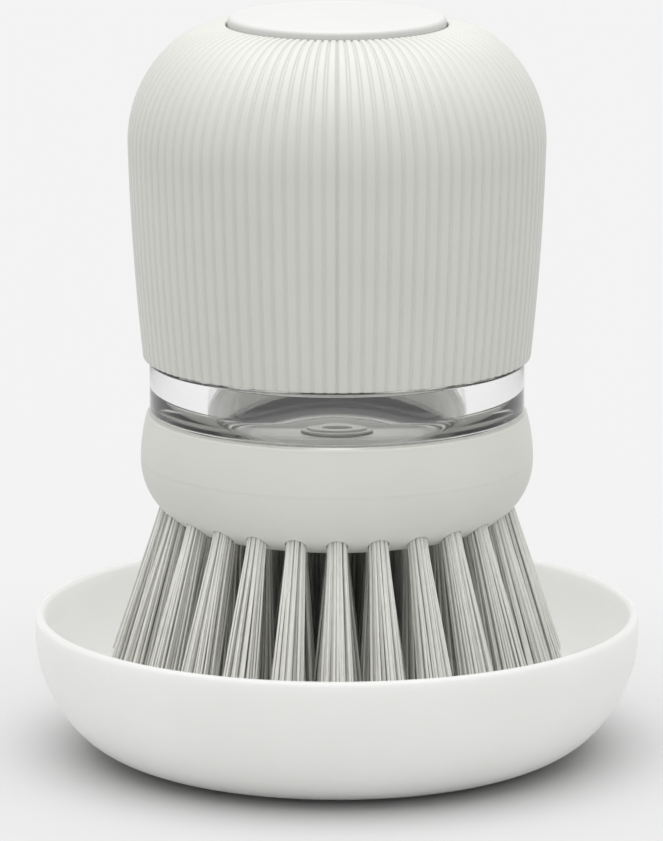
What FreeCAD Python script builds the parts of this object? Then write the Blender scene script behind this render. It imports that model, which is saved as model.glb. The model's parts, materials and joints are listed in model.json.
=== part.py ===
"""Soap-dispensing palm dish brush standing in its drip tray, as a parametric assembly (millimetres).

Z points up and z = 0 is the worktop. Every round piece is turned about the Z axis through the
middle of the tray, and the front of the brush faces -Y.
"""
import FreeCAD, Part
import math
import os

import Sketcher

SIZES = [
    # Drip tray
    ("tray_margin", 17.7),
    ("tray_belly_width", 18.1),
    ("tray_belly_height", 20.6),
    ("tray_rim", 2.9),
    ("tray_wall", 1.6),
    ("gutter_floor", 2.0),
    ("rest_height", 13.0),
    ("rest_edge", 1.6),
    # Brush head
    ("head_radius", 32.4),
    ("head_bottom", 38.2),
    ("head_corner", 11.2),
    ("head_flank", 7.9),
    ("head_inset", 1.0),
    ("head_wall", 2.25),
    ("head_edge", 0.4),
    ("head_spigot", 1.0),
    ("outlet_radius", 3.0),
    ("seat_clearance", 0.15),
    # Bristle tufts
    ("tuft_radius", 1.7),
    ("tuft_hole_depth", 8.0),
    ("tuft_clearance", 0.05),
    ("anchor_height", 1.6),
    ("anchor_thickness", 0.5),
    ("anchor_width", 2.8),
    ("tuft_turn", -90.0),
    ("outer_ring_share", 0.861),
    ("outer_splay", 15.5),
    ("outer_tip_radius", 3.1),
    ("outer_tip_gap", 1.2),
    ("outer_count", 26),
    ("middle_ring_share", 0.648),
    ("middle_splay", 8.0),
    ("middle_tip_radius", 2.6),
    ("middle_tip_gap", 0.25),
    ("middle_count", 20),
    ("inner_ring_share", 0.432),
    ("inner_splay", 3.0),
    ("inner_tip_radius", 2.4),
    ("inner_tip_gap", 0.25),
    ("inner_count", 13),
    ("centre_ring_share", 0.247),
    ("centre_splay", 1.0),
    ("centre_tip_radius", 2.2),
    ("centre_tip_gap", 0.25),
    ("centre_count", 7),
    # Clear reservoir
    ("band_gap", 0.3),
    ("band_height", 8.45),
    ("band_step", 1.05),
    ("band_edge", 0.45),
    ("reservoir_floor", 2.4),
    ("reservoir_fillet", 6.0),
    ("spigot_corner", 2.0),
    ("neck_height", 13.95),
    ("neck_wall", 1.8),
    ("spout_wall", 1.9),
    ("spout_length", 5.0),
    ("key_width", 1.2),
    ("key_depth", 0.9),
    ("key_count", 4),
    ("key_turn", 45.0),
    # Soap valve and seals
    ("valve_lip", 1.4),
    ("valve_flange", 1.2),
    ("valve_skin", 0.7),
    ("slit_width", 0.2),
    ("slit_length", 3.2),
    ("collar_lap", 0.6),
    ("collar_brim", 1.1),
    ("collar_flange", 0.6),
    ("collar_height", 1.6),
    ("collar_step", 0.4),
    ("ring_wire", 0.68),
    ("ring_clearance", 0.05),
    ("gasket_height", 1.2),
    ("gasket_inset", 0.05),
    ("face_gap", 0.1),
    # Ribbed cap
    ("cap_gap", 0.3),
    ("grip_step", 0.45),
    ("grip_flare", 2.3),
    ("grip_side", 35.95),
    ("grip_bulge", 0.35),
    ("shoulder_radius", 21.0),
    ("shoulder_angle", 48.0),
    ("crown_radius", 14.0),
    ("cover_wall", 1.55),
    ("cover_edge", 0.35),
    ("bond_gap", 0.05),
    ("rib_depth", 0.35),
    ("rib_crest_angle", 1.7),
    ("rib_count", 100),
    ("core_wall", 1.4),
    ("thread_wall", 1.3),
    ("thread_clearance", 0.25),
    ("ledge_width", 1.6),
    ("ledge_height", 1.6),
    # Button and air pump
    ("button_margin", 16.4),
    ("button_clearance", 0.3),
    ("button_rise", 1.3),
    ("button_edge", 0.8),
    ("button_roof", 2.6),
    ("button_flange", 1.5),
    ("button_stop_gap", 0.2),
    ("button_flange_height", 1.4),
    ("button_travel", 5.0),
    ("piston_inset", 3.25),
    ("piston_wall", 2.0),
    ("piston_length", 21.0),
    ("piston_seal_wire", 0.75),
    ("piston_seal_inset", 3.0),
    ("piston_fit", 0.05),
    ("barrel_clearance", 0.4),
    ("barrel_wall", 1.6),
    ("lid_height", 2.2),
    ("lid_clearance", 0.2),
    ("port_radius", 1.2),
    ("port_inset", 2.2),
    ("port_count", 4),
    ("spring_inset", 5.3),
    ("spring_wire", 0.6),
    ("spring_turns", 9),
    ("spring_clearance", 0.8),
    ("spring_post_height", 3.5),
    ("vent_inset", 5.0),
    ("vent_stem_radius", 1.1),
    ("vent_cap_radius", 3.4),
    ("vent_cap_height", 0.8),
    ("vent_bulb_radius", 1.7),
    ("vent_bulb_height", 1.6),
    ("vent_hole_radius", 0.5),
    ("vent_hole_ring", 2.3),
    ("vent_hole_count", 4),
]

ORIGIN = FreeCAD.Vector(0, 0, 0)
X_AXIS = FreeCAD.Vector(1, 0, 0)
Z_AXIS = FreeCAD.Vector(0, 0, 1)

document = FreeCAD.newDocument("dish_brush")
sheet = document.addObject("Spreadsheet::Sheet", "Sizes")
pieces = []


class Size:
    """A number together with the expression that ties it to the spreadsheet."""

    def __init__(self, value, text):
        self.value = value
        self.text = text

    def __add__(self, other):
        other = as_size(other)
        return Size(self.value + other.value, f"({self.text} + {other.text})")

    def __sub__(self, other):
        other = as_size(other)
        return Size(self.value - other.value, f"({self.text} - {other.text})")

    def __mul__(self, other):
        other = as_size(other)
        return Size(self.value * other.value, f"({self.text} * {other.text})")

    def __truediv__(self, other):
        other = as_size(other)
        return Size(self.value / other.value, f"({self.text} / {other.text})")


def as_size(number):
    return number if isinstance(number, Size) else Size(float(number), repr(float(number)))


def root(size):
    return Size(math.sqrt(size.value), f"sqrt({size.text})")


def cosine(angle):
    return Size(math.cos(math.radians(angle.value)), f"cos({angle.text} * 1 deg)")


def sine(angle):
    return Size(math.sin(math.radians(angle.value)), f"sin({angle.text} * 1 deg)")


def fill_sheet():
    sizes = {}
    for row, (name, value) in enumerate(SIZES, start=1):
        sheet.set(f"A{row}", name)
        sheet.set(f"B{row}", str(value))
        sheet.setAlias(f"B{row}", name)
    document.recompute()
    for name, _ in SIZES:
        sizes[name] = Size(float(sheet.get(name)), f"Sizes.{name}")
    return sizes


def arc_radius(start, end, bulge):
    """Radius of the arc from start to end that stands off its chord by bulge."""
    across = end[0] - start[0]
    up = end[1] - start[1]
    chord_squared = across * across + up * up
    return chord_squared / (bulge * 8.0) + bulge / 2.0


def new_body(label):
    body = document.addObject("PartDesign::Body", label)
    body.Label = label
    body.AllowCompound = True
    pieces.append(body)
    return body


def new_sketch(body, name, plane_role):
    sketch = body.newObject("Sketcher::SketchObject", name)
    plane = next(feature for feature in body.Origin.OriginFeatures if feature.Role == plane_role)
    sketch.AttachmentSupport = [(plane, "")]
    sketch.MapMode = "FlatFace"
    return sketch


def arc_geometry(start, end, radius, turn):
    """Arc that runs counter-clockwise (turn 1) or clockwise (turn -1) from start to end."""
    chord = end - start
    left = FreeCAD.Vector(-chord.y, chord.x, 0).normalize()
    reach = math.sqrt(max(radius ** 2 - chord.Length ** 2 / 4, 0))
    centre = (start + end) * 0.5 + left * (turn * reach)
    first, last = (start, end) if turn > 0 else (end, start)
    first_angle = math.atan2(first.y - centre.y, first.x - centre.x)
    last_angle = math.atan2(last.y - centre.y, last.x - centre.x)
    circle = Part.Circle(centre, FreeCAD.Vector(0, 0, 1), radius)
    return Part.ArcOfCircle(circle, first_angle, last_angle)


def bind(sketch, constraint, size):
    index = sketch.addConstraint(constraint)
    sketch.setExpression(f"Constraints[{index}]", size.text)


def draw_outline(sketch, points):
    """Closed outline through points (across, up) or (across, up, radius, turn) for an arriving arc."""
    corners = [(as_size(point[0]), as_size(point[1])) for point in points]
    places = [FreeCAD.Vector(across.value, up.value, 0) for across, up in corners]
    count = len(points)
    edges = []
    for here in range(count):
        there = (here + 1) % count
        if len(points[there]) == 2:
            geometry = Part.LineSegment(places[here], places[there])
            edges.append((sketch.addGeometry(geometry, False), 1, 2))
        else:
            radius, turn = points[there][2:]
            geometry = arc_geometry(places[here], places[there], radius.value, turn)
            ends = (1, 2) if turn > 0 else (2, 1)
            edges.append((sketch.addGeometry(geometry, False), *ends))
            bind(sketch, Sketcher.Constraint("Radius", edges[-1][0], radius.value), radius)
    for here in range(count):
        edge, start_end, _ = edges[here]
        before, _, finish_end = edges[here - 1]
        sketch.addConstraint(Sketcher.Constraint("Coincident", before, finish_end, edge, start_end))
        place_corner(sketch, edge, start_end, corners[here])


def place_corner(sketch, edge, end, corner):
    """Hold one end of an edge at its distances from the two sketch axes."""
    vertical_axis = -2
    horizontal_axis = -1
    origin = (-1, 1)
    across, up = corner
    if across.value == 0:
        sketch.addConstraint(Sketcher.Constraint("PointOnObject", edge, end, vertical_axis))
    else:
        bind(sketch, Sketcher.Constraint("DistanceX", *origin, edge, end, across.value), across)
    if up.value == 0:
        sketch.addConstraint(Sketcher.Constraint("PointOnObject", edge, end, horizontal_axis))
    else:
        bind(sketch, Sketcher.Constraint("DistanceY", *origin, edge, end, up.value), up)


def add_revolution(body, points):
    """Turn a closed outline in the XZ plane right round the Z axis."""
    sketch = new_sketch(body, f"{body.Label}_outline", "XZ_Plane")
    draw_outline(sketch, points)
    turned = body.newObject("PartDesign::Revolution", f"{body.Label}_turned")
    turned.Profile = sketch
    turned.ReferenceAxis = (sketch, ["V_Axis"])
    turned.Angle = 360
    document.recompute()
    return turned


def revolved(label, points):
    body = new_body(label)
    add_revolution(body, points)
    return body


def add_pattern(body, feature, count):
    """Repeat a feature of the body evenly round the Z axis."""
    pattern = body.newObject("PartDesign::PolarPattern", f"{feature.Name}_ring")
    pattern.Originals = [feature]
    pattern.Axis = (feature.Profile[0], ["V_Axis"])
    pattern.Angle = 360
    pattern.setExpression("Occurrences", count.text)
    body.Tip = pattern
    document.recompute()
    return pattern


def turn_body(body, angle):
    """Turn a finished body about the Z axis."""
    body.Placement = FreeCAD.Placement(ORIGIN, FreeCAD.Rotation(Z_AXIS, angle.value))
    document.recompute()


def turned_about_slant(body, kind, name, points):
    """Revolution or Groove of an outline whose first edge lies on its own slanted axis."""
    sketch = new_sketch(body, f"{name}_outline", "XZ_Plane")
    draw_outline(sketch, points)
    ends = [FreeCAD.Vector(as_size(across).value, as_size(up).value, 0) for across, up in points[:2]]
    axis = sketch.addGeometry(Part.LineSegment(*ends), True)
    sketch.addConstraint(Sketcher.Constraint("Coincident", 0, 1, axis, 1))
    sketch.addConstraint(Sketcher.Constraint("Coincident", 0, 2, axis, 2))
    feature = body.newObject(f"PartDesign::{kind}", name)
    feature.Profile = sketch
    feature.ReferenceAxis = (sketch, ["Axis0"])
    feature.Angle = 360
    document.recompute()
    return feature


def circle_pocket(body, name, places, radius):
    """Round holes straight through the body, parallel to Z, at places (across, along)."""
    sketch = new_sketch(body, f"{name}_outline", "XY_Plane")
    for across, along in places:
        centre = FreeCAD.Vector(across.value, as_size(along).value, 0)
        circle = sketch.addGeometry(Part.Circle(centre, FreeCAD.Vector(0, 0, 1), radius.value), False)
        bind(sketch, Sketcher.Constraint("Radius", circle, radius.value), radius)
        bind(sketch, Sketcher.Constraint("DistanceX", -1, 1, circle, 3, across.value), across)
        if as_size(along).value == 0:
            sketch.addConstraint(Sketcher.Constraint("PointOnObject", circle, 3, -1))
        else:
            bind(sketch, Sketcher.Constraint("DistanceY", -1, 1, circle, 3, along.value), along)
    before = body.Shape.Volume
    pocket = body.newObject("PartDesign::Pocket", name)
    pocket.Profile = sketch
    pocket.Type = "ThroughAll"
    pocket.Midplane = True
    document.recompute()
    if pocket.Shape.Volume >= before:
        raise RuntimeError(f"{name} cuts nothing")
    return pocket


size = fill_sheet()


# Heights and radii that several pieces share

waist_height = size["head_bottom"] + size["head_corner"]
head_top = waist_height + size["head_flank"]
head_top_radius = size["head_radius"] - size["head_inset"]
socket_radius = head_top_radius - size["head_wall"]
socket_floor = waist_height + size["head_spigot"]
spigot_radius = socket_radius - size["seat_clearance"]
reservoir_bottom = socket_floor + size["seat_clearance"]
reservoir_floor_top = reservoir_bottom + size["reservoir_floor"]
band_bottom = head_top + size["band_gap"]
band_top = band_bottom + size["band_height"]
grip_lower_radius = size["head_radius"] - size["grip_step"]
grip_radius = grip_lower_radius + size["grip_flare"]
band_radius = grip_lower_radius - size["band_step"]
neck_top = band_top + size["neck_height"]
spout_radius = size["outlet_radius"] + size["spout_wall"]
spout_bottom = reservoir_bottom - size["spout_length"]
spout_bore = spout_radius + size["seat_clearance"]
ring_radius = spout_radius + size["ring_wire"] + size["ring_clearance"]
ring_seat_radius = ring_radius + size["ring_wire"] + size["ring_clearance"]
ring_seat_bottom = reservoir_bottom - size["ring_wire"] * 2.0 - size["ring_clearance"] * 2.0
cap_bottom = band_top + size["cap_gap"]
shoulder_height = cap_bottom + size["grip_side"]
core_offset = size["cover_wall"] + size["bond_gap"]
core_inner_offset = core_offset + size["core_wall"]
thread_radius = grip_lower_radius - core_offset - size["thread_wall"]
neck_radius = thread_radius - size["thread_clearance"]
reservoir_radius = neck_radius - size["neck_wall"]
button_radius = grip_radius - size["button_margin"]
button_hole = button_radius + size["button_clearance"]
gasket_bottom = neck_top + size["face_gap"]
lid_bottom = gasket_bottom + size["gasket_height"] + size["face_gap"]
lid_top = lid_bottom + size["lid_height"]
piston_radius = button_radius - size["piston_inset"]
barrel_radius = piston_radius + size["barrel_clearance"]
spring_radius = piston_radius - size["spring_inset"]
spring_post_radius = spring_radius - size["spring_wire"] - size["spring_clearance"]
port_ring_radius = piston_radius - size["port_inset"]
vent_ring_radius = reservoir_radius - size["vent_inset"]
valve_flange_radius = size["outlet_radius"] + size["valve_lip"]
tray_radius = size["head_radius"] + size["tray_margin"]
tray_height = size["tray_belly_height"] + size["tray_rim"]
tray_foot_radius = tray_radius - size["tray_belly_width"]
rest_radius = tray_foot_radius - size["gutter_floor"]


def crown_height(offset):
    """Height where the crown, offset inwards from the cover, meets the button hole."""
    centre_step = size["shoulder_radius"] - size["crown_radius"]
    shoulder_centre = grip_radius - size["shoulder_radius"]
    centre_radius = shoulder_centre + centre_step * cosine(size["shoulder_angle"])
    centre_height = shoulder_height + centre_step * sine(size["shoulder_angle"])
    radius = size["crown_radius"] - offset
    across = button_hole - centre_radius
    return centre_height + root(radius * radius - across * across)


def dome_points(offset):
    """Shoulder and crown of the cap from the top of its side to the button hole, offset inwards."""
    centre_radius = grip_radius - size["shoulder_radius"]
    shoulder = size["shoulder_radius"] - offset
    joint_radius = centre_radius + shoulder * cosine(size["shoulder_angle"])
    joint_height = shoulder_height + shoulder * sine(size["shoulder_angle"])
    return [
        (joint_radius, joint_height, shoulder, 1),
        (button_hole, crown_height(offset), size["crown_radius"] - offset, 1),
    ]


def dome_back(offset, first_radius, first_height):
    """The same shoulder and crown run downwards, ending at the point given on the side."""
    joint, crown = dome_points(offset)
    return [
        (crown[0], crown[1]),
        (joint[0], joint[1], size["crown_radius"] - offset, -1),
        (grip_radius - offset, shoulder_height, size["shoulder_radius"] - offset, -1),
        (first_radius, first_height),
    ]


def side_arc(offset, bottom):
    """Outer side of the cap at an inward offset, from its lower end up to the shoulder."""
    lower = (grip_lower_radius - offset, bottom)
    upper = (grip_radius - offset, shoulder_height)
    radius = arc_radius(lower, upper, size["grip_bulge"])
    return [lower, (*upper, radius, 1)]


button_top = crown_height(as_size(0)) + size["button_rise"]
button_ceiling = button_top - size["button_roof"]
button_flange_top = crown_height(core_inner_offset) - size["button_stop_gap"]
button_flange_bottom = button_flange_top - size["button_flange_height"]
piston_bottom = button_top - size["piston_length"] - size["button_roof"]


def bowl_points(offset):
    """Joint and end of the tray's belly, two tangent arcs offset inwards from the outside."""
    diagonal = math.sqrt(0.5)
    width = size["tray_belly_width"]
    height = size["tray_belly_height"]
    upper = ((width + height) * diagonal - width) / (2.0 * diagonal - 1.0)
    lower = width + height - upper
    joint = (lower - offset) * diagonal
    return {
        "start": (tray_foot_radius, offset),
        "joint": (tray_foot_radius + joint, lower - joint),
        "end": (tray_radius - offset, height),
        "lower": lower - offset,
        "upper": upper - offset,
    }


def make_tray():
    wall = size["tray_wall"]
    lip = wall / 2.0
    lip_height = tray_height - lip
    outside = bowl_points(as_size(0))
    inside = bowl_points(wall)
    hollow_radius = rest_radius - wall
    hollow_top = size["rest_height"] - wall
    edge = size["rest_edge"]
    revolved("drip_tray", [
        (0, hollow_top),
        (hollow_radius, hollow_top),
        (hollow_radius, 0),
        (tray_foot_radius, 0),
        (*outside["joint"], outside["lower"], 1),
        (*outside["end"], outside["upper"], 1),
        (tray_radius, lip_height),
        (tray_radius - lip, tray_height, lip, 1),
        (tray_radius - wall, lip_height, lip, 1),
        inside["end"],
        (*inside["joint"], inside["upper"], -1),
        (*inside["start"], inside["lower"], -1),
        (rest_radius, wall),
        (rest_radius, size["rest_height"] - edge),
        (rest_radius - edge, size["rest_height"], edge, 1),
        (0, size["rest_height"]),
    ])


class TuftRing:
    """Places along the slanted axis of one tuft, from the bottom of its hole to its tip."""

    def __init__(self, name):
        self.name = name
        self.splay = size[f"{name}_splay"]
        self.tip_radius = size[f"{name}_tip_radius"]
        self.count = size[f"{name}_count"]
        self.ring_radius = size["head_radius"] * size[f"{name}_ring_share"]
        self.mouth_height = self.underside(self.ring_radius)
        self.length = self.length_to_rest(size[f"{name}_tip_gap"])

    def underside(self, radius):
        """Height of the head's underside at a radius: flat, then round towards the outside."""
        flat_radius = size["head_radius"] - size["head_corner"]
        if radius.value <= flat_radius.value:
            return size["head_bottom"]
        across = radius - flat_radius
        drop = root(size["head_corner"] * size["head_corner"] - across * across)
        return waist_height - drop

    def length_to_rest(self, gap):
        """Free length that leaves the lowest edge of the tip a gap above the level of the tray's rest."""
        tip_height = size["rest_height"] + gap + self.tip_radius * sine(self.splay)
        return (self.mouth_height - tip_height) / cosine(self.splay)

    def point(self, along, beside):
        """Point at a distance along the axis from the hole's mouth and beside it, outwards."""
        across = self.ring_radius + along * sine(self.splay) + beside * cosine(self.splay)
        up = self.mouth_height - along * cosine(self.splay) + beside * sine(self.splay)
        return across, up

    def hole_outline(self):
        radius = size["tuft_radius"] + size["tuft_clearance"]
        deep = size["tuft_hole_depth"] * -1.0
        clear = size["tuft_radius"] * 2.0
        nothing = as_size(0)
        return [
            self.point(deep, nothing),
            self.point(clear, nothing),
            self.point(clear, radius),
            self.point(deep, radius),
        ]

    def tuft_outline(self):
        deep = size["anchor_height"] - size["tuft_hole_depth"]
        nothing = as_size(0)
        return [
            self.point(deep, nothing),
            self.point(self.length, nothing),
            self.point(self.length, self.tip_radius),
            self.point(nothing, size["tuft_radius"]),
            self.point(deep, size["tuft_radius"]),
        ]

    def anchor_outline(self):
        top = size["tuft_clearance"] - size["tuft_hole_depth"]
        bottom = size["anchor_height"] - size["tuft_hole_depth"] - size["tuft_clearance"]
        half = size["anchor_thickness"] / 2.0
        inwards = half * -1.0
        return [
            self.point(top, inwards),
            self.point(bottom, inwards),
            self.point(bottom, half),
            self.point(top, half),
        ]


def make_tufts(ring):
    body = new_body(f"{ring.name}_tufts")
    tuft = turned_about_slant(body, "Revolution", f"{ring.name}_tuft", ring.tuft_outline())
    add_pattern(body, tuft, ring.count)
    turn_body(body, size["tuft_turn"])


def make_anchors(ring):
    body = new_body(f"{ring.name}_anchors")
    sketch = new_sketch(body, f"{ring.name}_anchor_outline", "XZ_Plane")
    draw_outline(sketch, ring.anchor_outline())
    plate = body.newObject("PartDesign::Pad", f"{ring.name}_anchor")
    plate.Profile = sketch
    plate.Midplane = True
    plate.setExpression("Length", size["anchor_width"].text)
    document.recompute()
    add_pattern(body, plate, ring.count)
    turn_body(body, size["tuft_turn"])


def make_brush_block(rings):
    """Lower half of the head, below its widest circle, drilled for the tufts."""
    corner = size["head_corner"]
    step_radius = socket_radius - size["bond_gap"]
    body = revolved("brush_block", [
        (size["outlet_radius"], size["head_bottom"]),
        (size["head_radius"] - corner, size["head_bottom"]),
        (size["head_radius"], waist_height, corner, 1),
        (step_radius, waist_height),
        (step_radius, socket_floor),
        (ring_seat_radius, socket_floor),
        (ring_seat_radius, ring_seat_bottom),
        (spout_bore, ring_seat_bottom),
        (spout_bore, spout_bottom - size["seat_clearance"]),
        (size["outlet_radius"], spout_bottom - size["seat_clearance"]),
    ])
    for ring in rings:
        before = body.Shape.Volume
        hole = turned_about_slant(body, "Groove", f"{ring.name}_hole", ring.hole_outline())
        add_pattern(body, hole, ring.count)
        if body.Shape.Volume >= before:
            raise RuntimeError(f"{ring.name} holes cut nothing")
    turn_body(body, size["tuft_turn"])


def make_head_collar():
    """Upper half of the head, a ring bonded to the block's step, which holds the reservoir."""
    edge = size["head_edge"]
    inset = size["head_inset"]
    bottom = waist_height + size["bond_gap"]
    flank_top = head_top - edge
    flank_up = flank_top - bottom
    flank_radius = (flank_up * flank_up + inset * inset) / (inset * 2.0)
    revolved("head_collar", [
        (socket_radius, bottom),
        (size["head_radius"], bottom),
        (head_top_radius, flank_top, flank_radius, 1),
        (head_top_radius - edge, head_top, edge, 1),
        (socket_radius, head_top),
    ])


def make_reservoir():
    edge = size["band_edge"]
    fillet = size["reservoir_fillet"]
    corner = size["spigot_corner"]
    flange_seat = reservoir_floor_top - size["valve_flange"]
    flange_radius = valve_flange_radius + size["ring_clearance"]
    body = revolved("reservoir", [
        (size["outlet_radius"], spout_bottom),
        (spout_radius, spout_bottom),
        (spout_radius, reservoir_bottom),
        (spigot_radius - corner, reservoir_bottom),
        (spigot_radius, reservoir_bottom + corner, corner, 1),
        (spigot_radius, band_bottom),
        (band_radius - edge, band_bottom),
        (band_radius, band_bottom + edge, edge, 1),
        (band_radius, band_top - edge),
        (band_radius - edge, band_top, edge, 1),
        (neck_radius, band_top),
        (neck_radius, neck_top),
        (reservoir_radius, neck_top),
        (reservoir_radius, reservoir_floor_top + fillet),
        (reservoir_radius - fillet, reservoir_floor_top, fillet, -1),
        (flange_radius, reservoir_floor_top),
        (flange_radius, flange_seat),
        (size["outlet_radius"], flange_seat),
    ])
    add_keys(body)


def add_keys(body):
    """Upright keys on the inside of the clear wall, turned to lie either side of the front."""
    sketch = new_sketch(body, "key_outline", "XZ_Plane")
    sunk = reservoir_radius + size["neck_wall"] / 2.0
    inner = reservoir_radius - size["key_depth"]
    foot = reservoir_floor_top + size["reservoir_fillet"]
    draw_outline(sketch, [(inner, foot), (sunk, foot), (sunk, band_top), (inner, band_top)])
    key = body.newObject("PartDesign::Pad", "key")
    key.Profile = sketch
    key.Midplane = True
    key.setExpression("Length", size["key_width"].text)
    document.recompute()
    add_pattern(body, key, size["key_count"])
    turn_body(body, size["key_turn"])


def make_slit_valve():
    """Silicone dome with a flange on top and a cross slit through its lowest part."""
    seat = reservoir_floor_top - size["valve_flange"] + size["ring_clearance"]
    outer = size["outlet_radius"] - size["ring_clearance"]
    inner = outer - size["valve_skin"]
    body = revolved("slit_valve", [
        (0, seat - outer),
        (outer, seat, outer, 1),
        (valve_flange_radius, seat),
        (valve_flange_radius, reservoir_floor_top),
        (inner, reservoir_floor_top),
        (inner, seat),
        (0, seat - inner, inner, -1),
    ])
    reach = size["slit_length"] / 2.0
    half = size["slit_width"] / 2.0
    cut_slit(body, "slit_across", reach, half)
    cut_slit(body, "slit_along", half, reach)


def cut_slit(body, name, half_across, half_along):
    """Narrow slot through the middle of the body, parallel to Z."""
    sketch = new_sketch(body, f"{name}_outline", "XY_Plane")
    left = half_across * -1.0
    low = half_along * -1.0
    draw_outline(sketch, [(left, low), (half_across, low), (half_across, half_along), (left, half_along)])
    before = body.Shape.Volume
    slit = body.newObject("PartDesign::Pocket", name)
    slit.Profile = sketch
    slit.Type = "ThroughAll"
    slit.Midplane = True
    document.recompute()
    if slit.Shape.Volume >= before:
        raise RuntimeError(f"{name} cuts nothing")


def make_valve_collar():
    bottom = reservoir_floor_top + size["ring_clearance"]
    top = bottom + size["collar_height"]
    shelf = bottom + size["collar_flange"]
    edge = size["collar_flange"] / 2.0
    bore = size["outlet_radius"] - size["collar_step"]
    body_radius = valve_flange_radius + size["collar_lap"]
    brim_radius = body_radius + size["collar_brim"]
    revolved("valve_collar", [
        (bore, bottom),
        (brim_radius, bottom),
        (brim_radius, shelf),
        (body_radius, shelf),
        (body_radius, top - edge),
        (body_radius - edge, top, edge, 1),
        (bore, top),
    ])


def make_ring(label, radius, wire, height):
    """Round rubber ring lying level, its centre at a height."""
    ring = document.addObject("Part::Torus", label)
    ring.Label = label
    ring.setExpression("Radius1", radius.text)
    ring.setExpression("Radius2", wire.text)
    ring.setExpression("Placement.Base.z", height.text)
    document.recompute()
    pieces.append(ring)


def make_neck_gasket():
    inner = reservoir_radius + size["gasket_inset"]
    outer = neck_radius - size["gasket_inset"]
    top = gasket_bottom + size["gasket_height"]
    revolved("neck_gasket", [(inner, gasket_bottom), (outer, gasket_bottom), (outer, top), (inner, top)])


def make_cap_core():
    """Smooth threaded cap under the ribbed cover, with a ledge that the pump lid snaps up to."""
    bottom = cap_bottom + size["cap_gap"]
    ledge_bottom = lid_top + size["face_gap"]
    ledge_top = ledge_bottom + size["ledge_height"]
    ledge_radius = thread_radius - size["ledge_width"]
    waist_radius = grip_lower_radius - core_offset
    revolved("cap_core", [
        (thread_radius, bottom),
        *side_arc(core_offset, bottom),
        *dome_points(core_offset),
        *dome_back(core_inner_offset, waist_radius, ledge_top),
        (ledge_radius, ledge_top),
        (ledge_radius, ledge_bottom),
        (thread_radius, ledge_bottom),
    ])


def meridian(depth, angle):
    """Edges of the cover's outside at a depth below the rib crests, in the half plane at an angle."""
    lower, upper = side_arc(depth, cap_bottom + size["cover_edge"])
    foot = (lower[0] - size["cover_edge"], cap_bottom)
    points = [foot, lower, upper, *dome_points(depth)]
    places = [FreeCAD.Vector(point[0].value, point[1].value, 0) for point in points]
    edges = []
    for start, end, point in zip(places, places[1:], points[1:]):
        if len(point) == 2:
            edge = Part.LineSegment(start, end).toShape()
        else:
            edge = arc_geometry(start, end, point[2].value, point[3]).toShape()
        edge.rotate(ORIGIN, X_AXIS, 90)
        edge.rotate(ORIGIN, Z_AXIS, angle)
        edges.append(edge)
    return edges


def rib_meridians():
    """Meridians round the cover: two on each rib's crest, then one in the groove beside it."""
    pitch = 360.0 / size["rib_count"].value
    half_crest = size["rib_crest_angle"].value / 2.0
    nothing = as_size(0)
    meridians = []
    for rib in range(int(size["rib_count"].value)):
        middle = -90.0 + pitch * (rib + 0.5)
        meridians.append(meridian(nothing, middle - half_crest))
        meridians.append(meridian(nothing, middle + half_crest))
        meridians.append(meridian(size["rib_depth"], middle + pitch / 2.0))
    return meridians


def polygon(places):
    return Part.makePolygon([*places, places[0]])


def make_grip_cover():
    """Ribbed outer cover of the cap: ruled strips between meridians, closed by its plain inside."""
    wall = size["cover_wall"]
    meridians = rib_meridians()
    faces = []
    for here, there in zip(meridians, meridians[1:] + meridians[:1]):
        faces += [Part.makeRuledSurface(first, second) for first, second in zip(here, there)]
    rim_height = crown_height(wall).value
    foot_radius = grip_lower_radius - wall
    foot_circle = Part.makeCircle(foot_radius.value, Z_AXIS * cap_bottom.value)
    rim_radius = button_hole.value + size["cover_edge"].value
    rim_circle = Part.makeCircle(rim_radius, Z_AXIS * rim_height)
    feet = [edges[0].firstVertex(True).Point for edges in meridians]
    tops = [edges[-1].lastVertex(True).Point for edges in meridians]
    rims = [FreeCAD.Vector(top.x, top.y, rim_height) for top in tops]
    faces.append(Part.makeFace([polygon(feet), Part.Wire(foot_circle)], "Part::FaceMakerBullseye"))
    faces.append(Part.makeFace([Part.Wire(rim_circle), polygon(rims)], "Part::FaceMakerBullseye"))
    for index in range(len(tops)):
        faces.append(Part.Face(polygon([tops[index - 1], tops[index], rims[index], rims[index - 1]])))
    faces += inside_faces(wall, rim_radius)
    shell = Part.makeShell(faces)
    shell.sewShape()
    solid = Part.makeSolid(shell.Shells[0])
    cover = document.addObject("Part::Feature", "grip_cover")
    cover.Label = "grip_cover"
    cover.Shape = solid
    cover.Placement = FreeCAD.Placement()
    pieces.append(cover)


def inside_faces(wall, rim_radius):
    """Smooth inside of the cover, turned from its lower edge to the level rim at the button hole."""
    lower, upper = side_arc(wall, cap_bottom)
    joint, crown = dome_points(wall)
    points = [lower, upper, joint, (as_size(rim_radius), crown[1], crown[2], crown[3])]
    places = [FreeCAD.Vector(point[0].value, point[1].value, 0) for point in points]
    faces = []
    for start, end, point in zip(places, places[1:], points[1:]):
        edge = arc_geometry(start, end, point[2].value, point[3]).toShape()
        edge.rotate(ORIGIN, X_AXIS, 90)
        faces.append(edge.revolve(ORIGIN, Z_AXIS, 360))
    return faces


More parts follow.
